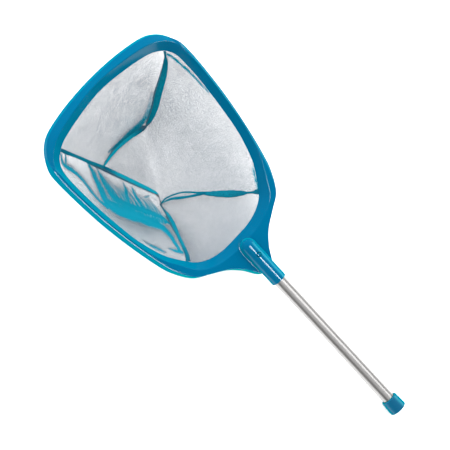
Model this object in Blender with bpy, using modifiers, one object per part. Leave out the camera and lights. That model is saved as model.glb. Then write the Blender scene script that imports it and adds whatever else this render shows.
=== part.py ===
"""Leaf skimmer net: a moulded frame with a socket, a sewn mesh bag and a short aluminium pole.

The net is drawn in its own frame, with +Y from the socket's mouth towards the scraping edge, +X
across the mouth of the bag and +Z out of it, and Z = 0 on the pole's axis. An empty then lays it
down as it rests: the bag's bottom and the end cap touch the floor at Z = 0.
"""

import bpy
import bmesh
from math import cos, exp, pi, radians, sin
from mathutils import Vector

# Rest pose
TILT = radians(10.7)
REST_Y = -0.0794

# Pole, end cap and socket
POLE_R = 0.011
POLE_WALL = 0.0012
POLE_TOP = 0.0855
GAP = 0.0003
CAP_MOUTH_R = 0.0150
CAP_BASE_R = 0.0160
CAP_LENGTH = 0.027
CAP_FLOOR = 0.004
CAP_END = -0.3155
SOCKET_R = 0.0144
SOCKET_DOME = 0.0800
SOCKET_FLOOR = 0.0865

# Lock clip
BUTTON_Y = 0.060
BUTTON_R = 0.0037
BUTTON_TOP = 0.0139
BUTTON_FOOT = 0.0072
SOCKET_HOLE_R = 0.0048
POLE_HOLE_R = 0.0041
CLIP_WIDTH = 0.007
CLIP_WALL = 0.0009
CLIP_BEND_Y = 0.012

# Frame: heights below the pole's axis
SHELL = 0.0024
TOP_Z = -0.0027
INNER_Z = -0.0194
SKIRT_Z = -0.0220
EDGE_DROP = 0.0085
LIP_Z = -0.0190
STATIONS = 56

# Outer and inner edges of the frame's top, from the socket round to the scraping edge, right half
OUTER = (
    (0.0, 0.024),
    (0.014, 0.030),
    (0.0295, 0.0535),
    (0.050, 0.0745),
    (0.078, 0.0920),
    (0.105, 0.1095),
    (0.125, 0.143),
    (0.1357, 0.178),
    (0.1465, 0.2295),
    (0.1545, 0.281),
    (0.1595, 0.332),
    (0.1617, 0.378),
    (0.1603, 0.4095),
    (0.1520, 0.4315),
    (0.1368, 0.4495),
    (0.1128, 0.4615),
    (0.060, 0.4705),
    (0.0, 0.4735),
)
INNER = (
    (0.0, 0.1030),
    (0.017, 0.1030),
    (0.034, 0.1040),
    (0.051, 0.1075),
    (0.067, 0.1135),
    (0.083, 0.1245),
    (0.099, 0.1455),
    (0.1165, 0.1755),
    (0.131, 0.2220),
    (0.1385, 0.2700),
    (0.1435, 0.3200),
    (0.1455, 0.3600),
    (0.1445, 0.3930),
    (0.1390, 0.4090),
    (0.1285, 0.4210),
    (0.106, 0.4330),
    (0.058, 0.4430),
    (0.0, 0.4484),
)

# Bag: bottom corners (X, Y), and where the seams meet the rim, counted in points of the outline
BAG_FAR_RIGHT = (0.0500, 0.3245)
BAG_FAR_LEFT = (-0.0515, 0.3340)
BAG_TAIL = (-0.0180, 0.2315)
FAR_RIGHT_SEAM = 13.6
FAR_LEFT_SEAM = 14.7
NEAR_RIGHT_SEAM = 5.25
NEAR_LEFT_SEAM = 5.5
CLOTH = 0.0010
SEAM_R = 0.0016
SEAM_CLEAR = 0.0034
MESH_TOP_Z = INNER_Z - 0.0019

BLUE = (0.0, 0.165, 0.37, 1)
MESH_BLUE = (0.05, 0.33, 0.45, 1)
SEAM_BLUE = (0.0, 0.16, 0.28, 1)
ALUMINIUM = (0.72, 0.71, 0.70, 1)


def clear_scene():
    for obj in list(bpy.data.objects):
        bpy.data.objects.remove(obj, do_unlink=True)


def new_collection(name):
    collection = bpy.data.collections.new(name)
    bpy.context.scene.collection.children.link(collection)
    return collection


def new_material(name, colour, roughness, metallic=0.0):
    material = bpy.data.materials.new(name)
    material.use_nodes = True
    shader = material.node_tree.nodes["Principled BSDF"]
    shader.inputs["Base Color"].default_value = colour
    shader.inputs["Roughness"].default_value = roughness
    shader.inputs["Metallic"].default_value = metallic
    material.diffuse_color = colour
    return material


def new_object(name, mesh, collection, material=None, sharp=35):
    obj = bpy.data.objects.new(name, mesh)
    collection.objects.link(obj)
    obj.parent = rest
    if material:
        obj.data.materials.append(material)
        obj.data.shade_smooth()
        obj.data.set_sharp_from_angle(angle=radians(sharp))
    return obj


def floor_height(y, clearance):
    """Z of a point at Y that stands this clear of the floor."""
    return (clearance - REST_Z - y * sin(TILT)) / cos(TILT)


# Outlines


def spline(points, samples):
    """Catmull-Rom curve through the points, with the end tangents square to the mirror plane."""
    first, last = points[1], points[-2]
    padded = [(-first[0], first[1]), *points, (-last[0], last[1])]
    curve = []
    for i in range(samples + 1):
        t = i * (len(points) - 1) / samples
        k = min(int(t), len(points) - 2)
        f = t - k
        p0, p1, p2, p3 = (Vector(p) for p in padded[k : k + 4])
        curve.append(
            0.5 * (2 * p1 + (p2 - p0) * f + (2 * p0 - 5 * p1 + 4 * p2 - p3) * f**2)
            + 0.5 * (3 * p1 - p0 - 3 * p2 + p3) * f**3
        )
    return curve


def loop(points):
    """Both halves of an outline as one closed loop, counter-clockwise from the socket."""
    half = spline(points, STATIONS)
    return half + [Vector((-p.x, p.y)) for p in reversed(half[1:-1])]


def outset(outline, distances):
    """The loop moved outwards, by its own distance at each point."""
    moved = []
    for i, point in enumerate(outline):
        along = outline[(i + 1) % len(outline)] - outline[i - 1]
        normal = Vector((along.y, -along.x)).normalized()
        moved.append(point + normal * distances[i])
    return moved


def share_far(outline):
    """0 on the sides, rising to 1 along the scraping edge."""
    shares = []
    for point in outline:
        t = min(max((point.y - 0.408) / 0.030, 0), 1)
        shares.append(t * t * (3 - 2 * t))
    return shares


def share_near(outline):
    shares = []
    for point in outline:
        t = min(max((0.16 - point.y) / 0.06, 0), 1)
        shares.append(t * t * (3 - 2 * t))
    return shares


def corner_flare(point):
    """How far the skirt's foot stands out more, just before the scraping edge's corners."""
    return 0.0008 * max(0, 1 - abs(point.y - 0.408) / (0.045 if point.y < 0.408 else 0.016))


def crown(point):
    """How far the yoke's top rises beside the socket."""
    return 0.0050 * exp(-((point.x / 0.024) ** 2)) if point.y < 0.1 else 0.0


# Frame


def lofted_loop(name, sections, collection, material):
    """A closed ring through the sections, each a closed polygon with the same number of points."""
    bm = bmesh.new()
    rings = [[bm.verts.new(p) for p in section] for section in sections]
    count = len(rings[0])
    for i, ring in enumerate(rings):
        before = rings[i - 1]
        for k in range(count):
            j = (k + 1) % count
            bm.faces.new((before[k], before[j], ring[j], ring[k]))
    bmesh.ops.recalc_face_normals(bm, faces=bm.faces)
    mesh = bpy.data.meshes.new(name)
    bm.to_mesh(mesh)
    bm.free()
    return new_object(name, mesh, collection, material)


def at(point, z):
    return Vector((point.x, point.y, z))


def frame_sections():
    """The frame's moulding: an inner slope, a top band and an outer skirt, open underneath."""
    outer, inner = loop(OUTER), loop(INNER)
    far, near = share_far(outer), share_near(outer)
    slope = outset(inner, [0.010 + 0.005 * f + 0.003 * n for f, n in zip(far, near)])
    flare = [0.0026 - 0.001 * n + corner_flare(p) for n, p in zip(near, outer)]
    hem = outset(outer, flare)
    hem_in = outset(hem, [-SHELL] * len(hem))
    outer_in = outset(outer, [-SHELL] * len(outer))
    slope_in = outset(slope, [SHELL * 0.55] * len(slope))
    inner_in = outset(inner, [SHELL] * len(inner))
    lip = outset(inner, [0.0009] * len(inner))
    round_out = outset(outer, [-0.0012] * len(outer))
    round_in = outset(slope, [0.0012] * len(slope))
    sections = []
    for i in range(len(outer)):
        top = TOP_Z - EDGE_DROP * far[i]
        crest = TOP_Z - 0.0018 * far[i]
        skirt = SKIRT_Z + (LIP_Z - SKIRT_Z) * far[i]
        edge_up, slope_up = crown(outer[i]), crown(slope[i])
        sections.append(
            (
                at(lip[i], INNER_Z),
                at(inner[i], INNER_Z + 0.0011),
                at(slope[i], crest - 0.0012 + slope_up),
                at(round_in[i], crest + slope_up),
                at(round_out[i], top + edge_up),
                at(outer[i], top - 0.0012 + edge_up),
                at(hem[i], skirt),
                at(hem_in[i], skirt),
                at(outer_in[i], top - SHELL + edge_up - 0.0006),
                at(slope_in[i], crest - SHELL * 1.1 + slope_up - 0.0012),
                at(inner_in[i], INNER_Z),
            )
        )
    return sections


def turned(name, profile, collection, material=None, steps=40):
    """A profile of (radius, Y) turned about the pole's axis; its outer side runs to lower Y."""
    mesh = bpy.data.meshes.new(name)
    points = [(r, 0, y) for r, y in profile]
    edges = [(i, i + 1) for i in range(len(points) - 1)]
    if profile[0][0] > 0:
        edges.append((len(points) - 1, 0))
    mesh.from_pydata(points, edges, [])
    obj = new_object(name, mesh, collection, material)
    obj.rotation_euler = (-pi / 2, 0, 0)
    screw = obj.modifiers.new("Turn", "SCREW")
    screw.axis = "Z"
    screw.steps = steps
    screw.render_steps = steps
    screw.use_merge_vertices = True
    screw.merge_threshold = 0.00001
    screw.use_smooth_shade = True
    return obj


def cutter_cylinder(name, radius, y, z_from, z_to):
    bm = bmesh.new()
    bmesh.ops.create_cone(
        bm, cap_ends=True, segments=32, radius1=radius, radius2=radius, depth=z_to - z_from
    )
    mesh = bpy.data.meshes.new(name)
    bm.to_mesh(mesh)
    bm.free()
    obj = new_object(name, mesh, cutters)
    obj.location = (0, y, (z_from + z_to) / 2)
    return obj


def boolean(obj, other, operation):
    modifier = obj.modifiers.new(other.name, "BOOLEAN")
    modifier.operation = operation
    modifier.object = other
    modifier.solver = "EXACT"


def dome(radius, start, steps):
    return [
        (radius * sin(i * pi / 2 / steps), start + radius * cos(i * pi / 2 / steps))
        for i in range(steps + 1)
    ]


def make_frame():
    frame = lofted_loop("frame_shell", frame_sections(), parts, blue)
    mouth = [(SOCKET_R, 0.0006), (SOCKET_R - 0.0006, 0), (0, 0)]
    body = turned("socket_body", dome(SOCKET_R, SOCKET_DOME, 8) + mouth, cutters)
    bore_r = POLE_R + GAP
    tube = [(0, SOCKET_FLOOR), (bore_r, SOCKET_FLOOR), (bore_r, -0.01), (0, -0.01)]
    bore = turned("socket_bore", tube, cutters)
    hole = cutter_cylinder("socket_holes", SOCKET_HOLE_R, BUTTON_Y, -0.03, 0.03)
    boolean(frame, body, "UNION")
    boolean(frame, bore, "DIFFERENCE")
    boolean(frame, hole, "DIFFERENCE")
    return frame


def band_sections(near_side, far_side, top, bottom):
    """A flat ring under the frame, between two distances outside the inner edge."""
    inner = loop(INNER)
    low = outset(inner, [near_side] * len(inner))
    high = outset(inner, [far_side] * len(inner))
    return [
        (at(low[i], bottom), at(low[i], top), at(high[i], top), at(high[i], bottom))
        for i in range(len(inner))
    ]


# Pole, end cap and lock clip


def make_pole():
    bore = POLE_R - POLE_WALL
    foot = CAP_END + CAP_FLOOR + GAP
    pole = turned(
        "pole",
        [(POLE_R, POLE_TOP), (POLE_R, foot), (bore, foot), (bore, POLE_TOP)],
        parts,
        aluminium,
        48,
    )
    hole = cutter_cylinder("pole_holes", POLE_HOLE_R, BUTTON_Y, -0.02, 0.02)
    boolean(pole, hole, "DIFFERENCE")


def make_end_cap():
    mouth = CAP_END + CAP_LENGTH
    bore = POLE_R + GAP
    turned(
        "end_cap",
        [
            (0, CAP_END + CAP_FLOOR),
            (bore, CAP_END + CAP_FLOOR),
            (bore, mouth - 0.0005),
            (bore + 0.0005, mouth),
            (CAP_MOUTH_R - 0.0012, mouth),
            (CAP_MOUTH_R - 0.0004, mouth - 0.0004),
            (CAP_MOUTH_R, mouth - 0.0014),
            (CAP_BASE_R, CAP_END + 0.0030),
            (CAP_BASE_R - 0.0006, CAP_END + 0.0010),
            (CAP_BASE_R - 0.0020, CAP_END),
            (0, CAP_END),
        ],
        parts,
        cap_blue,
        48,
    )


def make_button(name, side):
    """A round stud with a rounded end, standing through the pole and into the socket's hole."""
    crown_h = 0.0012
    profile = [(0, BUTTON_TOP)]
    for i in range(1, 6):
        a = i * pi / 10
        profile.append((BUTTON_R * sin(a), BUTTON_TOP - crown_h * (1 - cos(a))))
    profile += [(BUTTON_R, BUTTON_FOOT), (0, BUTTON_FOOT)]
    button = turned(name, profile, parts, clip_blue, 32)
    button.rotation_euler = (0 if side > 0 else pi, 0, 0)
    button.location = (0, BUTTON_Y, 0)


def make_clip():
    """The V-shaped spring inside the pole that carries the two buttons."""
    points = []
    reach = BUTTON_FOOT - GAP - CLIP_WALL / 2
    bend = 0.0022
    for side in (-1, 1):
        leg = [(BUTTON_Y + 0.0045, side * reach), (BUTTON_Y - 0.0045, side * reach)]
        points += leg if side < 0 else []
        if side < 0:
            for i in range(9):
                a = -pi / 2 + pi * i / 8
                points.append((CLIP_BEND_Y - bend * cos(a), bend * sin(a)))
        else:
            points += reversed(leg)
    mesh = bpy.data.meshes.new("clip_spring")
    bm = bmesh.new()
    rows = [[bm.verts.new((x, y, z)) for x in (-CLIP_WIDTH / 2, CLIP_WIDTH / 2)] for y, z in points]
    for a, b in zip(rows, rows[1:]):
        bm.faces.new((a[0], a[1], b[1], b[0]))
    bmesh.ops.recalc_face_normals(bm, faces=bm.faces)
    bm.to_mesh(mesh)
    bm.free()
    clip = new_object("clip_spring", mesh, parts, clip_blue)
    solidify = clip.modifiers.new("Thickness", "SOLIDIFY")
    solidify.thickness = CLIP_WALL
    solidify.offset = 0
    solidify.use_even_offset = True


# Bag


def rim_point(index):
    """The point of the bag's top edge under the inner rim, at this station of the loop."""
    return at(mesh_top[index % len(mesh_top)], MESH_TOP_Z)


def station(share):
    """The loop's station this many points along the half outline."""
    return round(share * STATIONS / (len(INNER) - 1))


def floor_point(corner, clearance):
    return Vector((corner[0], corner[1], floor_height(corner[1], clearance)))


def panel(name, rows):
    """A sheet through rows of points, given the cloth's thickness."""
    bm = bmesh.new()
    grid = [[bm.verts.new(p) for p in row] for row in rows]
    for a, b in zip(grid, grid[1:]):
        for k in range(len(a) - 1):
            bm.faces.new((a[k], a[k + 1], b[k + 1], b[k]))
    bmesh.ops.recalc_face_normals(bm, faces=bm.faces)
    mesh = bpy.data.meshes.new(name)
    bm.to_mesh(mesh)
    bm.free()
    obj = new_object(name, mesh, parts, mesh_blue)
    solidify = obj.modifiers.new("Thickness", "SOLIDIFY")
    solidify.thickness = CLOTH
    solidify.offset = 0
    return obj


def trimmed(row, start, end):
    """The row with its two ends drawn in by these distances along it."""
    lengths = [0.0]
    for a, b in zip(row, row[1:]):
        lengths.append(lengths[-1] + (b - a).length)
    total = lengths[-1]
    result = []
    for value in lengths:
        target = start + value / total * (total - start - end)
        k = 0
        while k < len(row) - 2 and lengths[k + 1] < target:
            k += 1
        span = max(lengths[k + 1] - lengths[k], 1e-9)
        result.append(row[k].lerp(row[k + 1], (target - lengths[k]) / span))
    return result


def ruled(top, bottom, steps):
    """Rows of points at equal steps from the top edge to the bottom edge."""
    return [[a.lerp(b, j / steps) for a, b in zip(top, bottom)] for j in range(steps + 1)]


def inset_corner(corner, first, second, on_first=False):
    """The corner of a flat panel, moved in to stay clear of the seams along its edges."""
    one = (first - corner).normalized()
    two = (second - corner).normalized()
    step = SEAM_CLEAR / sin(one.angle(two))
    return corner + (one if on_first else one + two) * step


def along(start, end, count):
    return [start.lerp(end, i / (count - 1)) for i in range(count)]


def make_bag():
    size = len(mesh_top)
    far_r = station(FAR_RIGHT_SEAM)
    far_l = size - station(FAR_LEFT_SEAM)
    near_r = station(NEAR_RIGHT_SEAM)
    near_l = size - station(NEAR_LEFT_SEAM)
    right_rim = [rim_point(i) for i in range(near_r, far_r + 1)]
    far_rim = [rim_point(i) for i in range(far_r, far_l + 1)]
    left_rim = [rim_point(i) for i in range(far_l, near_l + 1)]
    near_rim = [rim_point(i) for i in range(near_l, size + near_r + 1)]
    e, f, g = (floor_point(p, SEAM_R) for p in (BAG_FAR_RIGHT, BAG_FAR_LEFT, BAG_TAIL))

    clear = SEAM_CLEAR
    short = 0.90
    near_l_foot = near_rim[0].lerp(g, short)
    near_r_foot = near_rim[-1].lerp(g, short)
    for name, rim, start, end, drop in (
        ("net_far_panel", far_rim, e, f, clear),
        ("net_left_panel", left_rim, f, g, clear),
        ("net_near_panel", near_rim, near_l_foot, near_r_foot, 0),
    ):
        rows = ruled(rim, along(start, end, len(rim)), 8)
        rows = [trimmed(row, clear * 1.25, clear * 1.25) for row in rows]
        columns = [trimmed(list(column), 0, drop) for column in zip(*rows)]
        panel(name, list(zip(*columns)))

    e_low, f_low, g_low = (
        floor_point(p, CLOTH / 2 + 0.0001) for p in (BAG_FAR_RIGHT, BAG_FAR_LEFT, BAG_TAIL)
    )
    g_in = inset_corner(g_low, e_low, f_low, on_first=True)
    e_in = inset_corner(e_low, g_low, f_low, on_first=True)
    f_in = inset_corner(f_low, g_low, e_low)
    count = len(right_rim)
    wall = []
    for j, row in enumerate(ruled(right_rim, along(g_low, e_low, count), 8)):
        t = j / 8
        start = clear + t * ((g_in - g_low).length - clear)
        end = clear + t * ((e_in - e_low).length - clear)
        wall.append(trimmed(row, start, end))
    base = []
    for t in (0.22, 0.44, 0.66, 0.88):
        base.append(along(g_in.lerp(f_in, t), e_in.lerp(f_in, t), count))
    panel("net_main_panel", wall + base)

    for name, start, end in (
        ("seam_far_right", far_rim[0], e),
        ("seam_far_left", far_rim[-1], f),
        ("seam_bottom_far", e, f),
        ("seam_bottom_left", f, g),
        ("seam_near_right", right_rim[0], g),
        ("seam_near_left", left_rim[-1], g),
    ):
        make_seam(name, start, end)


def make_seam(name, start, end):
    """A rolled seam, as a thin cord along the line where two panels meet."""
    run = (end - start).normalized()
    inset = 0.0030
    start = start + run * inset
    end = end - run * inset
    curve = bpy.data.curves.new(name + "_path", "CURVE")
    curve.dimensions = "3D"
    curve.bevel_depth = SEAM_R
    curve.bevel_resolution = 2
    curve.use_fill_caps = True
    path = curve.splines.new("POLY")
    path.points.add(5)
    for i, point in enumerate(path.points):
        point.co = (*start.lerp(end, i / 5), 1)
    obj = new_object(name, curve, parts)
    obj.data.materials.append(seam_blue)


clear_scene()
parts = new_collection("leaf_skimmer_net")
cutters = new_collection("cutters")
REST_Z = CAP_BASE_R * cos(TILT) - (CAP_END + 0.0030) * sin(TILT)
rest = bpy.data.objects.new("rest_pose", None)
parts.objects.link(rest)
rest.rotation_euler = (TILT, 0, 0)
rest.location = (0, REST_Y, REST_Z)

blue = new_material("frame_blue", BLUE, 0.22)
ring_blue = new_material("ring_blue", BLUE, 0.35)
cap_blue = new_material("cap_blue", BLUE, 0.40)
clip_blue = new_material("clip_blue", BLUE, 0.30)
mesh_blue = new_material("mesh_blue", MESH_BLUE, 0.6)
seam_blue = new_material("seam_blue", SEAM_BLUE, 0.7)
aluminium = new_material("pole_aluminium", ALUMINIUM, 0.3, 1.0)

inner_loop = loop(INNER)
mesh_top = outset(inner_loop, [0.0011] * len(inner_loop))

make_frame()
hem = band_sections(0.0004, 0.0070, INNER_Z - 0.0003, INNER_Z - 0.0012)
lofted_loop("net_hem", hem, parts, mesh_blue)
ring = band_sections(0.0028, 0.0120, INNER_Z - 0.0015, INNER_Z - 0.0035)
lofted_loop("retaining_ring", ring, parts, ring_blue)
make_bag()
make_pole()
make_end_cap()
make_button("lock_button_top", 1)
make_button("lock_button_bottom", -1)
make_clip()

for helper in cutters.objects:
    helper.hide_render = True
    helper.display_type = "WIRE"
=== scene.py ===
"""Leaf skimmer net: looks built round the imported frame. Lengths are in metres unless a comment says mm."""

from math import atan, cos, hypot, pi, radians, sin, sqrt, tan

import bpy
import bmesh
import numpy as np
from mathutils import Matrix, Vector, noise

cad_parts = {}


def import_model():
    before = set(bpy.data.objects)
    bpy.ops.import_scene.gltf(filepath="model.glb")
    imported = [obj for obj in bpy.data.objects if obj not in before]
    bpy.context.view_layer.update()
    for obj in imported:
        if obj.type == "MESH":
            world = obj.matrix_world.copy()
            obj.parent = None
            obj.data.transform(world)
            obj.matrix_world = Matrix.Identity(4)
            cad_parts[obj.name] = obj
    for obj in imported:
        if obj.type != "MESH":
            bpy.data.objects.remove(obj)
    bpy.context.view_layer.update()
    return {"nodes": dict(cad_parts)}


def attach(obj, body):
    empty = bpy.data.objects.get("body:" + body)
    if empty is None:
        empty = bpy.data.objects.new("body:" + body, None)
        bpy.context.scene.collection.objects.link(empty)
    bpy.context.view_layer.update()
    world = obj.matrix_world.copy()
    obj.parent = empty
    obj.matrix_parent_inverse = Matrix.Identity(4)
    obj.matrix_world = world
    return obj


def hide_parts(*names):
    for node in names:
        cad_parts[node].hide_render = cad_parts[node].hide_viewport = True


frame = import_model()

# The net's own frame, as the part draws it: +Y from the socket's mouth to the scraping edge
TILT = radians(10.7)
REST = Vector((0, -0.0794, 0.0160 * cos(TILT) + 0.3125 * sin(TILT)))
TO_WORLD = Matrix.Translation(REST) @ Matrix.Rotation(TILT, 4, "X")

# Camera: the way to it from the net, as turns about the pole and out of the rim's plane
AIM = Vector((-0.00464, 0.13571, 0.0))
CAMERA_TURN = 0.3045
CAMERA_PITCH = 0.2203
CAMERA_ROLL = 0.0077
CAMERA_AWAY = 5.115
PICTURE_TURN = radians(43.17)
FIELD = 2 * atan(0.075)

# Rim: the frame's inner edge, right half from the socket round to the scraping edge
INNER = (
    (0.0, 0.1030),
    (0.017, 0.1030),
    (0.034, 0.1040),
    (0.051, 0.1075),
    (0.067, 0.1135),
    (0.083, 0.1245),
    (0.099, 0.1455),
    (0.1165, 0.1755),
    (0.131, 0.2220),
    (0.1385, 0.2700),
    (0.1435, 0.3200),
    (0.1455, 0.3600),
    (0.1445, 0.3930),
    (0.1390, 0.4090),
    (0.1285, 0.4210),
    (0.106, 0.4330),
    (0.058, 0.4430),
    (0.0, 0.4484),
)
# The frame's outer edge, from the end of the yoke under the socket round to the scraping edge
OUTER = (
    (0.0, 0.024),
    (0.014, 0.030),
    (0.0295, 0.0535),
    (0.050, 0.0745),
    (0.078, 0.0920),
    (0.105, 0.1095),
    (0.125, 0.143),
    (0.1357, 0.178),
    (0.1465, 0.2295),
    (0.1545, 0.281),
    (0.1595, 0.332),
    (0.1617, 0.378),
    (0.1603, 0.4095),
    (0.1520, 0.4315),
    (0.1368, 0.4495),
    (0.1128, 0.4615),
    (0.060, 0.4705),
    (0.0, 0.4735),
)
# Heights of the rim's inner edge, its top, the skirt's foot and the scraping edge's foot
INNER_Z = -0.0194
TOP_Z = -0.0027
SKIRT_Z = -0.0220
LIP_Z = -0.0190
EDGE_DROP = 0.0085
SHELL = 0.0024
# Where the yoke ends and where the slope down to the scraping edge starts, and how far each takes
YOKE_END, YOKE_FADE = 0.16, 0.06
SLOPE_START, SLOPE_FADE = 0.408, 0.030
STATIONS = 238

# Socket, pole, cap and buttons; the yoke's tip is where the socket comes clear of it
YOKE_TIP = 0.0315
FILLET = 0.0022
SOCKET_R = 0.0144
SOCKET_DOME = 0.0800
SOCKET_FLOOR = 0.0865
BORE_R = 0.0113
BUTTON_Y = 0.060
SOCKET_HOLE_R = 0.0048
POLE_HOLE_R = 0.0041
POLE_R = 0.011
POLE_WALL = 0.0012
POLE_TOP = 0.0855
POLE_FOOT = -0.3112
CAP_END = -0.3155
CAP_LENGTH = 0.027
CAP_FLOOR = 0.004
CAP_MOUTH_R = 0.0150
CAP_BASE_R = 0.0160
BUTTON_R = 0.0037
BUTTON_TOP = 0.0139
BUTTON_FOOT = 0.0072
TURNS = 128

# Bag: where the seams leave the rim, far right, far left, near right and near left, in points of its
# outline, and the corners on the floor. A seam's name is the letters of its two ends.
RIGHT_ENDS = {"a": 13.65, "c": 5.2}
LEFT_ENDS = {"b": 14.45, "d": 5.5}
CORNERS = {"e": (0.0535, 0.3270), "f": (-0.0543, 0.3310), "g": (-0.0180, 0.2312), "k": (-0.0300, 0.2172)}
CELL = 0.0016
PANEL_THICK = 0.0003
SEAM_THICK = 0.0005
HEM_THICK = 0.0006
CLOTH_CLEARANCE = 0.0006
SEAM_CLEARANCE = 0.0012
SEAM_RISE = 0.0012
RIPPLE = 0.0008
FLOOR_ROWS = 36
SOFTENING_ROUNDS = 40


def world(p):
    return TO_WORLD @ Vector(p)


def floor_point(corner):
    """The point over a corner of the bag's bottom that stands just clear of the floor."""
    x, y = corner
    return Vector((x, y, (SEAM_CLEARANCE - REST.z - y * sin(TILT)) / cos(TILT)))


def height_of(grid):
    """How high each point of a grid in the net's frame stands over the floor."""
    return REST.z + grid[..., 1] * sin(TILT) + grid[..., 2] * cos(TILT)


# Shapes


def spline(points, samples):
    """Catmull-Rom curve through the points, with the end tangents square to the mirror plane."""
    first, last = points[1], points[-2]
    padded = [(-first[0], first[1]), *points, (-last[0], last[1])]
    curve = []
    for i in range(samples + 1):
        t = i * (len(points) - 1) / samples
        k = min(int(t), len(points) - 2)
        f = t - k
        p0, p1, p2, p3 = (Vector(p) for p in padded[k : k + 4])
        curve.append(
            0.5 * (2 * p1 + (p2 - p0) * f + (2 * p0 - 5 * p1 + 4 * p2 - p3) * f**2)
            + 0.5 * (3 * p1 - p0 - 3 * p2 + p3) * f**3
        )
    return curve


def loop(points):
    """The whole outline, from its right half."""
    half = spline(points, STATIONS)
    return half + [Vector((-p.x, p.y)) for p in reversed(half[1:-1])]


def shifted(outline, distances):
    """The loop moved outwards, by its own distance at each point."""
    moved = []
    for i, (point, distance) in enumerate(zip(outline, distances)):
        along = outline[(i + 1) % len(outline)] - outline[i - 1]
        normal = Vector((along.y, -along.x)).normalized()
        moved.append(point + normal * distance)
    return moved


def outset(outline, distance):
    return shifted(outline, [distance] * len(outline))


def station(place):
    """The loop's nearest station to a place given in points of the rim's outline."""
    return round(place * STATIONS / (len(INNER) - 1))


def resample(path, count):
    """The path of points at count even steps along it."""
    p = np.array([tuple(v) for v in path])
    run = np.concatenate([[0], np.cumsum(np.linalg.norm(np.diff(p, axis=0), axis=1))])
    at = np.linspace(0, run[-1], count)
    return np.stack([np.interp(at, run, p[:, k]) for k in range(p.shape[1])], -1)


def bowed(start, end, count, bow=(0, 0, 0)):
    """A curve from start to end that stands off the straight line by bow at its middle."""
    t = np.linspace(0, 1, count)[:, None]
    a, b, c = (np.array(tuple(v)) for v in (start, end, bow))
    return a * (1 - t) + b * t + c * 4 * t * (1 - t)


def coons(top, bottom, left, right):
    """The smooth surface between four edges: top and bottom have n points, the sides m."""
    n, m = len(top), len(left)
    s = np.linspace(0, 1, n)[None, :, None]
    t = np.linspace(0, 1, m)[:, None, None]
    rows = (1 - t) * top[None] + t * bottom[None] + (1 - s) * left[:, None] + s * right[:, None]
    flat = (1 - t) * ((1 - s) * top[0] + s * top[-1]) + t * ((1 - s) * bottom[0] + s * bottom[-1])
    return rows - flat


def smooth_step(t):
    """The share from 0 to 1 with a smooth start and end."""
    t = min(max(t, 0), 1)
    return t * t * (3 - 2 * t)


def make_camera():
    t, p = CAMERA_TURN, CAMERA_PITCH
    back = Vector((-sin(t) * cos(p), sin(p), cos(t) * cos(p)))
    up = (Vector((0, 1, 0)) - back * back.y).normalized()
    right = up.cross(back)
    spin = Matrix.Rotation(CAMERA_ROLL - PICTURE_TURN, 3, back)
    axes = Matrix((spin @ right, spin @ up, back)).transposed().to_4x4()
    camera = bpy.data.objects.new("camera", bpy.data.cameras.new("camera"))
    camera.matrix_world = TO_WORLD @ Matrix.Translation(AIM + back * CAMERA_AWAY) @ axes
    camera.data.angle = FIELD
    camera.data.clip_end = 20
    bpy.context.scene.collection.objects.link(camera)
    bpy.context.scene.camera = camera


# Materials


class Nodes:
    """A short way to write a material's nodes."""

    def __init__(self, name):
        self.material = bpy.data.materials.new(name)
        self.material.use_nodes = True
        self.tree = self.material.node_tree
        self.shader = self.tree.nodes["Principled BSDF"]

    def add(self, kind, inputs=None, **settings):
        node = self.tree.nodes.new(kind)
        for key, value in settings.items():
            setattr(node, key, value)
        for key, value in (inputs or {}).items():
            self.put(node, key, value)
        return node

    def put(self, node, key, value):
        socket = node.inputs[key]
        if isinstance(value, bpy.types.NodeSocket):
            self.tree.links.new(value, socket)
        else:
            socket.default_value = value

    def math(self, operation, *values):
        node = self.add("ShaderNodeMath", operation=operation)
        for i, value in enumerate(values):
            self.put(node, i, value)
        return node.outputs[0]

    def pair(self, x, y):
        node = self.add("ShaderNodeCombineXYZ", {0: x, 1: y})
        return node.outputs[0]

    def mix(self, factor, a, b):
        node = self.add("ShaderNodeMix", data_type="RGBA")
        self.put(node, 0, factor)
        self.put(node, 6, a if isinstance(a, bpy.types.NodeSocket) else (*a, 1))
        self.put(node, 7, b if isinstance(b, bpy.types.NodeSocket) else (*b, 1))
        return node.outputs[2]

    def set(self, **values):
        for key, value in values.items():
            name = key.replace("_", " ").title().replace("Ior", "IOR")
            self.put(self.shader, name, value)


def plain(name, colour, rough):
    n = Nodes(name)
    n.set(base_color=(*colour, 1), roughness=rough)
    return n.material


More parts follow.
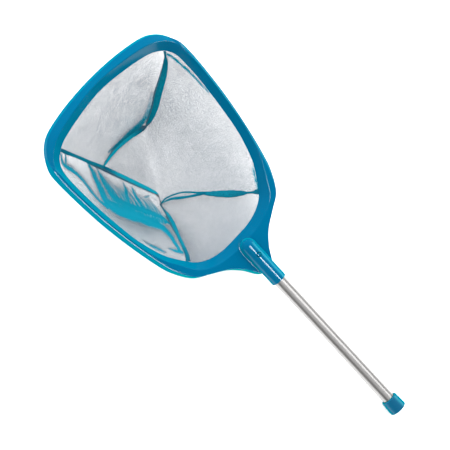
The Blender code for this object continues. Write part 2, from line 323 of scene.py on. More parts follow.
def plastic(name, colour, rough=0.07, gloss=0.22):
    """Moulded plastic: faint flow marks, flat faces matt and the rest polished, greener edge on."""
    n = Nodes(name)
    where = n.add("ShaderNodeTexCoord").outputs["Object"]
    cloud = n.add("ShaderNodeTexNoise", {"Vector": where, "Scale": 26.0, "Detail": 4.0})
    grain = n.add("ShaderNodeTexNoise", {"Vector": where, "Scale": 900.0, "Detail": 2.0})
    shade = n.math("MULTIPLY_ADD", cloud.outputs[0], 0.5, 0.25)
    deep = tuple(c * 0.93 for c in colour)
    light = tuple(c * 1.07 for c in colour)
    n.set(base_color=n.mix(shade, deep, light))
    n.set(roughness=n.math("MULTIPLY_ADD", cloud.outputs[0], 0.04, rough - 0.02))
    bump = n.add("ShaderNodeBump", {"Height": grain.outputs[0], "Strength": 0.06, "Distance": 0.0002})
    n.set(normal=bump.outputs[0])
    up = tuple(TO_WORLD.to_3x3() @ Vector((0, 0, 1)))
    normal = n.add("ShaderNodeTexCoord").outputs["Normal"]
    level = n.add("ShaderNodeVectorMath", {0: normal, 1: up}, operation="DOT_PRODUCT").outputs["Value"]
    height = n.add("ShaderNodeVectorMath", {0: where, 1: up}, operation="DOT_PRODUCT").outputs["Value"]
    flat = n.math("GREATER_THAN", level, FLAT_FACING)
    low = n.math("LESS_THAN", height, REST.dot(Vector(up)) - 0.001)
    gloss = n.math("MULTIPLY_ADD", n.math("MULTIPLY", flat, low), MATT - gloss, gloss)
    edge = n.add("ShaderNodeLayerWeight", {"Blend": 0.5}).outputs["Facing"]
    fade = n.add("ShaderNodeMapRange", interpolation_type="SMOOTHSTEP")
    for key, value in ((0, edge), (1, FADE_FROM), (2, FADE_TO), (3, gloss), (4, 0.0)):
        n.put(fade, key, value)
    n.set(specular_ior_level=fade.outputs[0])
    n.shader.inputs["Sheen Weight"].default_value = SHEEN
    n.shader.inputs["Sheen Roughness"].default_value = SHEEN_ROUGH
    n.shader.inputs["Sheen Tint"].default_value = (*SHEEN_TINT, 1)
    return n.material


def drawn_metal(name, colour, rough):
    """Drawn aluminium: fine scratches along the tube."""
    n = Nodes(name)
    where = n.add("ShaderNodeTexCoord").outputs["Object"]
    laid = n.add("ShaderNodeMapping", {"Vector": where, "Rotation": (-TILT, 0, 0)})
    laid.vector_type = "TEXTURE"
    n.put(laid, "Scale", (0.0011, 0.06, 0.0011))
    lines = n.add("ShaderNodeTexNoise", {"Vector": laid.outputs[0], "Scale": 1.0, "Detail": 4.0})
    shade = n.mix(lines.outputs[0], tuple(c * 0.98 for c in colour), tuple(c * 1.02 for c in colour))
    n.set(base_color=shade, roughness=n.math("MULTIPLY_ADD", lines.outputs[0], 0.06, rough - 0.03))
    bump = n.add("ShaderNodeBump", {"Height": lines.outputs[0], "Strength": 0.03, "Distance": 0.00002})
    n.set(normal=bump.outputs[0])
    n.shader.inputs["Metallic"].default_value = 1.0
    return n.material


# Moulded plastic: how matt its flat top faces are, how edge on its gloss fades, and its edges' sheen
BLUE = (0.0, 0.096, 0.204)
CAP_BLUE = (0.0, 0.078, 0.168)
SATIN = 0.30
FLAT_FACING = 0.994
MATT = 0.02
FADE_FROM, FADE_TO = 0.33, 0.45
SHEEN, SHEEN_ROUGH = 0.45, 0.45
SHEEN_TINT = (0.0, 1.0, 0.75)
ALUMINIUM, DRAWN = (0.335, 0.329, 0.325), 0.32
# Cloth: the weave's pitch, half a thread's width as a share of it, and the looser weave low in the bag,
# which is painted light: it lightens the bag's bottom against the shade on the floor
THREAD = (0.073, 0.099, 0.13)
THREAD_DEEP = (0.0, 0.20, 0.29)
SEAM_DARK = (0.0, 0.10, 0.16)
SEAM_LIGHT = (0.0, 0.26, 0.35)
PITCH = 0.0013
THREAD_HALF = 0.112
BOTTOM_LIGHTENING = 0.14
BOTTOM_REACH = 0.055
GRAIN = 0.06
PLY_HALF = 0.2
PLY_TURN = (0.93, 0.30)


def mesh_cloth():
    """Fine open mesh: threads each way, closer together where the cloth is gathered."""
    n = Nodes("net_mesh")
    uv = n.add("ShaderNodeUVMap", uv_map="weave")
    split = n.add("ShaderNodeSeparateXYZ", {0: uv.outputs[0]})
    gather = n.add("ShaderNodeAttribute", attribute_name="gather").outputs["Fac"]
    u = n.math("DIVIDE", split.outputs[0], PITCH)
    v = n.math("DIVIDE", split.outputs[1], PITCH)
    wave = n.math("MULTIPLY", n.math("SINE", n.math("MULTIPLY", v, 2 * pi)), 0.10)
    across = n.math("PINGPONG", n.math("ADD", u, wave), 0.5)
    along = n.math("PINGPONG", v, 0.5)
    uneven = []
    for way, shift in ((u, 0.5), (v, 17.5)):
        number = n.math("FLOOR", n.math("ADD", way, shift))
        uneven.append(n.add("ShaderNodeTexWhiteNoise", {"W": number}, noise_dimensions="1D").outputs[0])
    cell = n.add("ShaderNodeVectorMath", {0: n.pair(u, v)}, operation="FLOOR").outputs[0]
    grain = n.add("ShaderNodeTexWhiteNoise", {"Vector": cell}, noise_dimensions="2D").outputs[0]
    cloud = n.add("ShaderNodeTexNoise", {"Vector": uv.outputs[0], "Scale": 34.0, "Detail": 3.0})
    soft = n.math("MULTIPLY_ADD", n.math("SUBTRACT", cloud.outputs[0], 0.5), 0.05, THREAD_HALF)
    soft = n.math("MULTIPLY_ADD", n.math("SUBTRACT", grain, 0.5), GRAIN, soft)
    halves = []
    for thread in uneven:
        own = n.math("MULTIPLY_ADD", thread, 0.8, 0.6)
        halves.append(n.math("MULTIPLY_ADD", n.math("MULTIPLY", gather, own), 0.42, soft))
    warp = n.math("LESS_THAN", across, halves[0])
    weft = n.math("LESS_THAN", along, halves[1])
    cover = n.math("MAXIMUM", warp, weft)
    height = n.math("MAXIMUM", n.math("SUBTRACT", 0.5, across), n.math("SUBTRACT", 0.47, along))
    bump = n.add("ShaderNodeBump", {"Height": height, "Strength": 0.5, "Distance": 0.0003})
    deep = n.math("MINIMUM", n.math("MAXIMUM", n.math("MULTIPLY_ADD", gather, 5.5, -0.55), 0.0), 1.0)
    colour = n.mix(deep, THREAD, THREAD_DEEP)
    n.set(base_color=colour, roughness=0.6, alpha=cover, normal=bump.outputs[0])
    n.shader.inputs["Specular IOR Level"].default_value = 0.06
    return n.material


def seam_cloth():
    """Several plies of the mesh sewn together: nearly closed, with a mottled pattern."""
    n = Nodes("seam_tape")
    uv = n.add("ShaderNodeUVMap", uv_map="weave")
    split = n.add("ShaderNodeSeparateXYZ", {0: uv.outputs[0]})
    tone = n.add("ShaderNodeAttribute", attribute_name="gather").outputs["Fac"]
    u = n.math("DIVIDE", split.outputs[0], PITCH)
    v = n.math("DIVIDE", split.outputs[1], PITCH)
    level, lean = PLY_TURN
    u2 = n.math("MULTIPLY_ADD", v, lean, n.math("MULTIPLY", u, level))
    v2 = n.math("MULTIPLY_ADD", u, -lean, n.math("MULTIPLY", v, level))
    plies = []
    for a, b in ((u, v), (u2, v2)):
        warp = n.math("LESS_THAN", n.math("PINGPONG", a, 0.5), PLY_HALF)
        weft = n.math("LESS_THAN", n.math("PINGPONG", b, 0.5), PLY_HALF)
        plies.append(n.math("MAXIMUM", warp, weft))
    cover = n.math("MAXIMUM", *plies)
    both = n.math("MINIMUM", *plies)
    mottle = n.add("ShaderNodeTexNoise", {"Vector": uv.outputs[0], "Scale": 380.0, "Detail": 3.0})
    blot = n.math("MULTIPLY", n.math("SUBTRACT", mottle.outputs[0], 0.5), 1.6)
    share = n.math("ADD", n.math("MULTIPLY_ADD", both, 0.25, tone), blot)
    colour = n.mix(n.math("MAXIMUM", n.math("MINIMUM", share, 1.0), 0.0), SEAM_DARK, SEAM_LIGHT)
    n.set(base_color=colour, roughness=0.6, alpha=n.math("MAXIMUM", cover, 0.85))
    n.shader.inputs["Specular IOR Level"].default_value = 0.06
    return n.material


def dress(node, material):
    """The material on a CAD node that stays as it is."""
    obj = frame["nodes"][node]
    for s in obj.material_slots:
        s.link = "OBJECT"
        s.material = material


# Bag


def new_piece(name, grid, material, gather, thick):
    """A cloth piece from a grid of points in the net's frame, with its weave laid out along it."""
    m, n = grid.shape[:2]
    mesh = bpy.data.meshes.new(name)
    pts = grid.reshape(-1, 3)
    faces = []
    for j in range(m - 1):
        for i in range(n - 1):
            a = j * n + i
            faces.append((a, a + n, a + n + 1, a + 1))
    mesh.from_pydata([tuple(world(p)) for p in pts], [], faces)
    du = np.linalg.norm(np.diff(grid, axis=1), axis=2)
    dv = np.linalg.norm(np.diff(grid, axis=0), axis=2)
    us = np.concatenate([np.zeros((m, 1)), np.cumsum(du, axis=1)], 1)
    us -= us[:, n // 2 : n // 2 + 1]
    vs = np.concatenate([np.zeros((1, n)), np.cumsum(dv, axis=0)], 0)
    uv = np.stack([us, vs], -1).reshape(-1, 2)
    layer = mesh.uv_layers.new(name="weave")
    index = np.zeros(len(mesh.loops), np.int32)
    mesh.loops.foreach_get("vertex_index", index)
    layer.data.foreach_set("uv", uv[index].astype(np.float32).ravel())
    att = mesh.attributes.new("gather", "FLOAT", "POINT")
    att.data.foreach_set("value", gather.astype(np.float32).ravel())
    mesh.shade_smooth()
    obj = bpy.data.objects.new(name, mesh)
    bpy.context.scene.collection.objects.link(obj)
    obj.data.materials.append(material)
    solid = obj.modifiers.new("thickness", "SOLIDIFY")
    solid.thickness = thick
    solid.offset = 0
    return obj


def sagged(grid, sag, seed):
    """The grid hanging slack between its edges, and kept off the floor."""
    m, n = grid.shape[:2]
    s = np.linspace(0, 1, n)[None, :]
    t = np.linspace(0, 1, m)[:, None]
    belly = 16 * s * (1 - s) * t * (1 - t)
    drop = np.array([0, -sin(TILT), -cos(TILT)])
    out = grid + drop * (sag * belly)[..., None]
    for j in range(m):
        for i in range(n):
            p = Vector(out[j, i] * 22) + Vector((seed, 0, 0))
            out[j, i, 2] += RIPPLE * noise.noise(p) * min(1, 3 * belly[j, i])
    return lifted(out)


def lifted(grid, clearance=CLOTH_CLEARANCE):
    """The grid with every point raised that isn't this clear of the floor."""
    up = np.maximum(clearance - height_of(grid), 0)
    grid[..., 1] += up * sin(TILT)
    grid[..., 2] += up * cos(TILT)
    return grid


# Seams as points (x, y, z) in mm between their ends, and each seam's width in mm at shares of its run
SEAM_PATHS = {
    "ae": ((126, 399, -36), (112, 382, -55), (92, 363, -79), (78, 347, -99), (64, 335, -118)),
    "bf": ((-109, 409, -43), (-90, 383, -75), (-75, 360, -100)),
    "ck": ((73, 140, -32), (55, 156, -48), (38, 174, -64), (28, 186, -74), (9, 208, -93),
           (-15, 219, -107)),
    "dk": ((-80, 142, -33), (-65, 161, -55), (-49, 182, -80), (-38, 199, -98)),
}
SEAM_WIDTHS = {
    "ae": ((0, 4.5), (0.07, 3.5), (0.12, 7), (0.17, 9), (0.3, 12.5), (0.5, 14), (0.68, 13.5),
           (0.85, 11), (0.95, 6), (1, 1)),
    "bf": ((0, 6), (0.12, 7), (0.35, 5.4), (0.6, 6), (0.85, 8.5), (1, 9)),
    "ef": ((0, 4), (0.06, 9), (0.2, 11), (0.45, 9.5), (0.7, 7), (0.9, 4.6), (1, 2)),
    "fg": ((0, 9), (0.5, 8.5), (0.8, 7.5), (0.93, 5), (1, 0.4)),
    "ck": ((0, 10), (0.03, 8), (0.06, 4), (0.11, 3.4), (0.15, 8), (0.27, 13), (0.4, 11),
           (0.5, 7), (0.6, 3), (1, 2.2)),
    "dk": ((0, 8), (0.2, 6.5), (0.45, 6), (0.62, 9), (0.78, 8.5), (0.86, 4), (1, 1.5)),
}
# The near right seam's loose lower ply
LOWER_PLY = ((32, 183, -70), (20, 190, -77), (9, 197, -85), (-2, 205, -94), (-12, 213, -103),
             (-24, 217, -111))
LOWER_PLY_WIDTHS = ((0, 2), (0.12, 5), (0.4, 4), (0.6, 5), (0.85, 4), (1, 1.5))
FAN_COUNT = 17
# Each panel of the bag as cut: width, length and area, and the seam strips sewn to it
PANELS = {
    "net_far": (0.27, 0.17, 0.032, ("tape_far_left", "tape_bottom_far")),
    "net_left": (0.30, 0.16, 0.032, ("tape_bottom_left",)),
    "net_near": (0.19, 0.16, 0.016, ("tape_near_left", "tape_near_right")),
    "net_main": (0.30, 0.26, 0.043, ("tape_far_right",)),
}
SEAM_TONE = {"ae": 0.25, "bf": 0.2, "ef": 0.6, "fg": 0.9, "ck": 0.15, "dk": 0.35}
# The way the seams' strips face, out of the mouth
FACING = (-0.29, 0.22, 0.93)

# Folds of each panel, seen from above: (x, y, half width, how tight), lengths in mm
LEFT_FOLDS = (
    ((-124, 421, 2, 0.3), (-130, 411, 3, 0.5), (-131, 401, 3.5, 0.8), (-127, 392, 4, 1),
     (-122, 380, 4, 1), (-119, 368, 3.6, 0.9), (-119, 355, 3.2, 0.9), (-122, 340, 2.8, 0.9),
     (-125, 325, 2.6, 0.9), (-126, 310, 2.6, 0.9), (-124, 297, 4, 1)),
    ((-80, 368, 2, 0.2), (-84, 350, 4, 0.8), (-91, 338, 6, 1), (-100, 324, 7, 1),
     (-109, 311, 8, 1), (-114, 297, 10, 1.2), (-110, 281, 11.5, 1.3), (-101, 263, 11.5, 1.3),
     (-91, 245, 11.5, 1.25), (-82, 228, 10.5, 1.15), (-74, 211, 9, 1.05), (-69, 196, 7, 1),
     (-71, 180, 5, 1), (-78, 165, 3.5, 0.9), (-84, 152, 2.5, 0.8)),
    ((-70, 344, 2, 0.2), (-78, 327, 6, 0.5), (-86, 310, 8, 0.5), (-92, 292, 9, 0.6),
     (-90, 272, 10, 0.5), (-80, 254, 10, 0.5)),
    ((-72, 338, 2, 0.5), (-78, 325, 2.4, 0.7), (-83, 311, 3, 0.7), (-88, 292, 4, 0.6),
     (-84, 270, 5, 0.6), (-76, 253, 6, 0.7), (-66, 237, 6, 0.9), (-58, 220, 5, 1),
     (-52, 203, 4, 1), (-52, 190, 2, 0.8)),
    ((-52, 290, 2, 0.3), (-62, 280, 4, 0.6), (-75, 270, 6, 0.5)),
    ((-46, 274, 1.6, 0.4), (-55, 262, 3, 0.7), (-61, 246, 4, 0.7), (-66, 232, 4, 0.6)),
    ((-43, 247, 1.6, 0.4), (-35, 243, 1.6, 0.4)),
    ((-95, 170, 1.6, 0.3), (-90, 159, 2.6, 0.9), (-84, 150, 3, 1)),
    ((-121, 215, 1.6, 0.2), (-117, 197, 3, 0.4), (-111, 182, 3, 0.4), (-107, 171, 1.6, 0.2)),
    ((-114, 414, 1.4, 0.3), (-122, 405, 2.4, 0.7), (-127, 398, 2, 0.5)),
)
RIGHT_FOLDS = (
    ((111, 168, 1.2, 0.2), (103, 154, 2, 0.8), (95, 139, 2, 1), (88, 130, 2, 0.6)),
    ((131, 416, 0.8, 0.8), (137, 403, 1, 1.2), (140.5, 386, 1, 1.2), (142.5, 360, 0.9, 1.2),
     (142.8, 335, 0.8, 1.1), (142, 312, 0.7, 0.8)),
)
FAR_FOLDS = (
    ((-30, 345, 2, 0.3), (-4, 342, 4, 0.4), (22, 341, 6, 0.45), (46, 340, 7, 0.45),
     (64, 348, 6, 0.35), (84, 370, 4, 0.2)),
)


def smoothed(path):
    """A path of few points as a smooth one of many."""
    p = [np.array(v, float) for v in path]
    p = [2 * p[0] - p[1], *p, 2 * p[-1] - p[-2]]
    out = []
    for k in range(1, len(p) - 2):
        a, b, c, d = p[k - 1 : k + 3]
        for t in np.linspace(0, 1, 12, endpoint=False):
            out.append(0.5 * (2 * b + (c - a) * t + (2 * a - 5 * b + 4 * c - d) * t**2
                              + (3 * b - a - 3 * c + d) * t**3))
    out.append(p[-2])
    return np.array(out)


def fold_one(x, y, fold):
    """At each point: its signed distance from the fold in half widths, and at the fold's nearest place
    the tightness, the share of its run, the half width and the way across.
    """
    pts = smoothed(fold)
    pts[:, :3] /= 1000
    best = np.full(x.shape, 1e9)
    q, tight, run = np.zeros(x.shape), np.zeros(x.shape), np.zeros(x.shape)
    nx, ny, width = np.zeros(x.shape), np.zeros(x.shape), np.ones(x.shape)
    for k, (p, r) in enumerate(zip(pts, pts[1:])):
        d = r[:2] - p[:2]
        t = np.clip(((x - p[0]) * d[0] + (y - p[1]) * d[1]) / (d @ d), 0, 1)
        ox, oy = x - p[0] - t * d[0], y - p[1] - t * d[1]
        far = np.hypot(ox, oy)
        closer = far < best
        w = p[2] + t * (r[2] - p[2])
        best = np.where(closer, far, best)
        q = np.where(closer, np.sign(d[0] * oy - d[1] * ox) * far / w, q)
        width = np.where(closer, w, width)
        tight = np.where(closer, p[3] + t * (r[3] - p[3]), tight)
        run = np.where(closer, (k + t) / (len(pts) - 1), run)
        length = np.hypot(*d)
        nx = np.where(closer, -d[1] / length, nx)
        ny = np.where(closer, d[0] / length, ny)
    return q, tight, run, width, nx, ny


def fan():
    """Fine folds that spread from the bottom seam and run together in the widest fold."""
    starts = resample([(-78, 340), (-64, 308), (-50, 275), (-38, 244)], FAN_COUNT)
    ends = resample([(-104, 272), (-90, 252), (-74, 226), (-56, 196)], FAN_COUNT)
    folds = []
    for i, (start, end) in enumerate(zip(starts, ends)):
        jog = 4 * noise.noise(Vector((i * 1.7, 0.3, 0)))
        middle = (start + end) / 2 + np.array((3.0 + jog, -2.5))
        tight = 0.55 + 0.35 * noise.noise(Vector((i * 0.9, 4.1, 0)))
        folds.append(((*start, 0.5, 0.15), (*middle, 1.3, tight), (*end, 2.4, tight + 0.25)))
    return tuple(folds)


def folded(grid, folds, loose, rough):
    """The cloth drawn into folds, ragged ones where rough, and how closely it is gathered at each point."""
    x, y = grid[..., 0], grid[..., 1]
    out = grid.copy()
    gather = np.zeros(x.shape)
    for number, fold in enumerate(folds):
        q, tight, run, width, nx, ny = fold_one(x, y, fold)
        ragged, fine = np.zeros(x.shape), np.zeros(x.shape)
        length = sum(hypot(b[0] - a[0], b[1] - a[1]) for a, b in zip(fold, fold[1:]))
        for j, i in np.argwhere((np.abs(q) < 3) & rough):
            along = run[j, i] * length
            ragged[j, i] = noise.noise(Vector((along / 3.1, q[j, i] * 0.8, number * 3.7)))
            fine[j, i] = noise.noise(Vector((along / 17, q[j, i] * width[j, i] * 900, number)))
        edge = np.abs(q) * (1 + np.where(q > 0, 0.25, 0.07) * ragged)
        core = np.exp(-(edge**4))
        reach = np.where(q > 0, 1.9, 1.25)
        fringe = np.exp(-((q / reach) ** 2)) * (0.22 + 0.6 * np.maximum(fine, 0))
        share = np.maximum(core * (0.86 + 0.7 * fine), fringe)
        gather = np.maximum(gather, np.clip(tight * share, 0, 1.2))
        firm = np.clip(tight, 0, 1)
        push = -0.35 * q * np.exp(-(q**2)) * width * firm
        out[..., 0] += nx * push
        out[..., 1] += ny * push
        out[..., 2] += np.exp(-((q * 1.3) ** 2)) * np.minimum(width, 0.006) * 0.3 * firm
    return out, np.clip(gather, 0, 1.1) - loose * np.clip(1 - gather * 4, 0, 1)


def strip(path, widths):
    """A seam's plies: a strip along the path that faces out of the mouth, with its own width."""
    n = len(path)
    share = np.linspace(0, 1, n)
    half = np.interp(share, *zip(*widths)) / 2000
    facing = np.array(FACING)
    rows = []
    for i in range(n):
        run = path[min(i + 1, n - 1)] - path[max(i - 1, 0)]
        run /= np.linalg.norm(run)
        across = np.cross(run, facing)
        across /= np.linalg.norm(across)
        up = np.cross(across, run)
        ripple = 0.0005 * noise.noise(Vector((i * 0.31, 2.0, half[0] * 900)))
        row = []
        for k in np.linspace(-1, 1, 9):
            reach = half[i] * k + ripple * abs(k) * min(1, half[i] / 0.003)
            row.append(path[i] + across * reach + up * (SEAM_RISE + 0.15 * half[i] * (1 - k * k)))
        rows.append(row)
    return lifted(np.array(rows))


def ribbon(name, strips, material, tone):
    """A sewn seam as one piece: darker towards the rim."""
    pieces = []
    for grid in strips:
        share = np.linspace(0, 1, len(grid))[:, None] * np.ones(grid.shape[1])
        shade = np.interp(share, (0, 0.1, 0.3, 1), (-0.35, -0.15, tone, tone + 0.15))
        pieces.append(new_piece(name, grid, material, shade, SEAM_THICK))
    first = pieces[0]
    if len(pieces) > 1:
        with bpy.context.temp_override(active_object=first, selected_editable_objects=pieces):
            bpy.ops.object.join()
    return first


def rim_edge():
    """The line under the rim that the panels hang from."""
    return [Vector((p.x, p.y, INNER_Z - 0.0007)) for p in outset(loop(INNER), 0.0009)]


def seam_lines(edge, leave, corners):
    """Each seam's line, from the rim down to the floor and along it."""
    seams = {}
    for key, path in SEAM_PATHS.items():
        start, end = edge[leave[key[0]]], corners[key[1]]
        middle = [np.array(p) / 1000 for p in path]
        seams[key] = resample(smoothed([tuple(start), *middle, tuple(end)]), 90)
    seams["ef"] = bowed(corners["e"], corners["f"], 60, (0, 0.0085, 0))
    seams["fg"] = bowed(corners["f"], corners["g"], 60)
    seams["gk"] = bowed(corners["g"], corners["k"], 12)
    return {key: lifted(line, SEAM_CLEARANCE) for key, line in seams.items()}


def points_along(path):
    """How many cells of cloth fit along the path."""
    p = np.array([tuple(v) for v in path])
    return max(8, int(np.linalg.norm(np.diff(p, axis=0), axis=1).sum() / CELL))


def make_panel(name, grid, node, material, folds=(), loose=0.0, rough=True, flat=0.0):
    """One panel: loose opens its weave away from the folds, and flat opens it near the floor as painted
    light, lightening the bag's bottom against the shade there.
    """
    grid, gather = folded(grid, folds, loose, rough)
    grid = lifted(grid)
    near_floor = np.clip(1 - height_of(grid) / BOTTOM_REACH, 0, 1)
    # Painted light: the weave thins near the floor, lightening the bag's bottom against the shade there.
    gather = gather - flat * near_floor * np.clip(1 - gather * 4, 0, 1)
    piece = new_piece(name, grid, material, gather, PANEL_THICK)
    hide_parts(node)
    return piece


def side_and_floor(rim, seams, corners):
    """The right wall and the floor as one cloth, with the bend between them softened."""
    n = points_along(rim)
    bottom = resample(np.concatenate([seams["gk"][::-1], bowed(corners["g"], corners["e"], 60)[1:]]), n)
    side = coons(resample(rim, n), bottom, resample(seams["ck"], 64), resample(seams["ae"], 64))
    left = resample(np.concatenate([seams["gk"][::-1], seams["fg"][::-1][1:]]), FLOOR_ROWS)
    right = resample(seams["ef"], FLOOR_ROWS)
    base = []
    for a, b in zip(left[1:], right[1:]):
        base.append(a + (b - a) * np.linspace(0, 1, n)[:, None])
    grid = np.concatenate([sagged(side, 0.007, 21), np.array(base)])
    for _ in range(SOFTENING_ROUNDS):
        middle = (grid[:-2, 1:-1] + grid[2:, 1:-1]) / 2
        grid[1:-1, 1:-1] = grid[1:-1, 1:-1] * 0.5 + middle * 0.5
    return grid


def make_panels(net, edge, leave, seams, corners):
    """The four panels, each between its stretch of the rim and its seams."""
    around = len(edge)

    def rim(start, end):
        return [edge[i % around] for i in range(start, end + 1)]

    def side(key, count):
        return resample(seams[key], count)

    far, left = rim(leave["a"], leave["b"]), rim(leave["b"], leave["d"])
    near, right = rim(leave["d"], around + leave["c"]), rim(leave["c"], leave["a"])
    pieces = []

    n = points_along(far)
    grid = coons(resample(far, n), side("ef", n), side("ae", 64), side("bf", 64))
    grid = sagged(grid, 0.006, 3)
    pieces.append(make_panel("net_far", grid, "net_far_panel", net, FAR_FOLDS, 0.01, rough=False))

    n = points_along(left)
    bottom = resample(np.concatenate([seams["fg"], seams["gk"][1:]]), n)
    grid = coons(resample(left, n), bottom, side("bf", 120), side("dk", 120))
    grid = sagged(grid, 0.008, 9)
    # The left panel's loose value opens its weave as painted light, lightening it against the shade under
    # it.
    pieces.append(make_panel("net_left", grid, "net_left_panel", net, LEFT_FOLDS + fan(), 0.08))

    n = points_along(near)
    point = np.repeat(np.array([tuple(corners["k"])]), n, 0)
    grid = coons(resample(near, n), point, side("dk", 60), side("ck", 60))
    grid = sagged(grid, 0.005, 14)
    pieces.append(make_panel("net_near", grid, "net_near_panel", net, loose=-0.04))

    grid = side_and_floor(right, seams, corners)
    pieces.append(
        make_panel("net_main", grid, "net_main_panel", net, RIGHT_FOLDS, -0.09, flat=BOTTOM_LIGHTENING)
    )
    return pieces


def make_seams(tape, seams):
    """The six sewn seams; the near right one has a second, looser ply."""
    pieces = []
    for name, key, node in (
        ("tape_far_right", "ae", "seam_far_right"),
        ("tape_far_left", "bf", "seam_far_left"),
        ("tape_bottom_far", "ef", "seam_bottom_far"),
        ("tape_bottom_left", "fg", "seam_bottom_left"),
        ("tape_near_right", "ck", "seam_near_right"),
        ("tape_near_left", "dk", "seam_near_left"),
    ):
        strips = [strip(resample(seams[key], 110), SEAM_WIDTHS[key])]
        if key == "ck":
            lower = smoothed([np.array(p) / 1000 for p in LOWER_PLY])
            strips.append(strip(lifted(resample(lower, 40), SEAM_CLEARANCE), LOWER_PLY_WIDTHS))
        piece = ribbon(name, strips, tape, SEAM_TONE[key])
        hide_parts(node)
        pieces.append(piece)
    return pieces


def make_bag():
    """The net's panels, seams and hem."""
    net, tape = mesh_cloth(), seam_cloth()
    edge = rim_edge()
    leave = {end: station(place) for end, place in RIGHT_ENDS.items()}
    leave |= {end: len(edge) - station(place) for end, place in LEFT_ENDS.items()}
    corners = {name: floor_point(place) for name, place in CORNERS.items()}
    seams = seam_lines(edge, leave, corners)
    pieces = make_panels(net, edge, leave, seams, corners) + make_seams(tape, seams)
    for piece in pieces:
        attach(piece, "net")
    hem = make_hem(net)
    named = {piece.name: piece for piece in pieces}
    for name, (wide, long, area, sewn) in PANELS.items():
        with_it = [named[tape] for tape in sewn]
        if name == "net_main":
            with_it.append(hem)


# Frame


def flare(point):
    """How far the skirt's foot stands out more, just before the scraping edge's corners."""
    fade = 0.045 if point.y < SLOPE_START else 0.016
    return 0.0008 * max(0, 1 - abs(point.y - SLOPE_START) / fade)


def rounded(points, cuts, steps=4):
    """The closed polygon with each corner rounded off over its own distance."""
    out = []
    for i, (p, cut) in enumerate(zip(points, cuts)):
        a, b = points[i - 1] - p, points[(i + 1) % len(points)] - p
        start = p + a.normalized() * min(cut, a.length * 0.48)
        end = p + b.normalized() * min(cut, b.length * 0.48)
        for k in range(steps + 1):
            t = k / steps
            out.append(start * (1 - t) ** 2 + p * 2 * t * (1 - t) + end * t * t)
    return out


def frame_sections():
    """The frame's section at each station: up over the rim, down the skirt and back inside the shell."""
    outer, inner = loop(OUTER), loop(INNER)
    far = [smooth_step((p.y - SLOPE_START) / SLOPE_FADE) for p in outer]
    near = [smooth_step((YOKE_END - p.y) / YOKE_FADE) for p in outer]
    slope = shifted(inner, [0.0108 + 0.005 * f + 0.003 * n for f, n in zip(far, near)])
    hem = shifted(outer, [0.0026 - 0.001 * n + flare(p) for n, p in zip(near, outer)])
    hem_in = outset(hem, -SHELL)
    outer_in = outset(outer, -SHELL)
    slope_in = outset(slope, SHELL * 0.5)
    inner_in = outset(inner, SHELL)
    lip = outset(inner, 0.0009)
    side = [(1 - f) * (1 - n) for f, n in zip(far, near)]
    rim = shifted(outer, [-0.0006 - 0.0030 * s for s in side])
    ledge = shifted(outer, [-0.0003 - 0.0013 * s for s in side])
    sections = []
    for i in range(len(outer)):
        top = TOP_Z - EDGE_DROP * far[i]
        crest = TOP_Z - 0.0018 * far[i]
        skirt = SKIRT_Z + (LIP_Z - SKIRT_Z) * far[i]
        corners = [
            (lip[i], INNER_Z, 0.0002),
            (inner[i], INNER_Z + 0.0011, 0.0006),
            (slope[i], crest, 0.0016),
            (rim[i], top, 0.0002),
            (ledge[i], top - 0.0001 - 0.0010 * side[i], 0.0002),
            (outer[i], top - 0.0002 - 0.0011 * side[i], 0.0006),
            (hem[i], skirt, 0.0005),
            (hem_in[i], skirt, 0.0005),
            (outer_in[i], top - SHELL - 0.0006, 0.001),
            (slope_in[i], crest - SHELL * 1.1 - 0.0012, 0.001),
            (inner_in[i], INNER_Z, 0.0002),
        ]
        points = [Vector((p.x, p.y, z)) for p, z, _ in corners]
        sections.append(rounded(points, [cut for _, _, cut in corners]))
    return sections


def closed_loft(name, sections, ring=True):
    """A closed solid through sections with the same number of points."""
    mesh = bpy.data.meshes.new(name)
    count, n = len(sections[0]), len(sections)
    faces = []
    for i in range(n if ring else n - 1):
        a, b = i * count, ((i + 1) % n) * count
        for k in range(count):
            j = (k + 1) % count
            faces.append((a + k, a + j, b + j, b + k))
    if not ring:
        faces.append(tuple(range(count)))
        faces.append(tuple(range((n - 1) * count, n * count))[::-1])
    mesh.from_pydata([tuple(p) for s in sections for p in s], [], faces)
    bm = bmesh.new()
    bm.from_mesh(mesh)
    bmesh.ops.recalc_face_normals(bm, faces=bm.faces)
    bm.to_mesh(mesh)
    bm.free()
    obj = bpy.data.objects.new(name, mesh)
    bpy.context.scene.collection.objects.link(obj)
    return obj


def spun(name, profile, steps=96):
    """A solid from a profile of (radius, Y) turned about the pole's axis, with flat ends."""
    sections = []
    for r, y in profile:
        ring = []
        for k in range(steps):
            a = 2 * pi * k / steps
            ring.append(Vector((r * cos(a), y, r * sin(a))))
        sections.append(ring)
    return closed_loft(name, sections, ring=False)


def upright(name, radius, y, low, high, steps=48):
    """A round cutter square to the pole."""
    ring = [Vector((radius * cos(2 * pi * k / steps), y + radius * sin(2 * pi * k / steps), 0))
            for k in range(steps)]
    return closed_loft(name, [[p + Vector((0, 0, z)) for p in ring] for z in (low, high)], ring=False)


def combine(obj, other, operation):
    modifier = obj.modifiers.new(other.name, "BOOLEAN")
    modifier.operation = operation
    modifier.object = other
    modifier.solver = "EXACT"


def baked(obj):
    """The object with its modifiers applied."""
    graph = bpy.context.evaluated_depsgraph_get()
    mesh = bpy.data.meshes.new_from_object(obj.evaluated_get(graph))
    obj.modifiers.clear()
    obj.data = mesh
    return obj


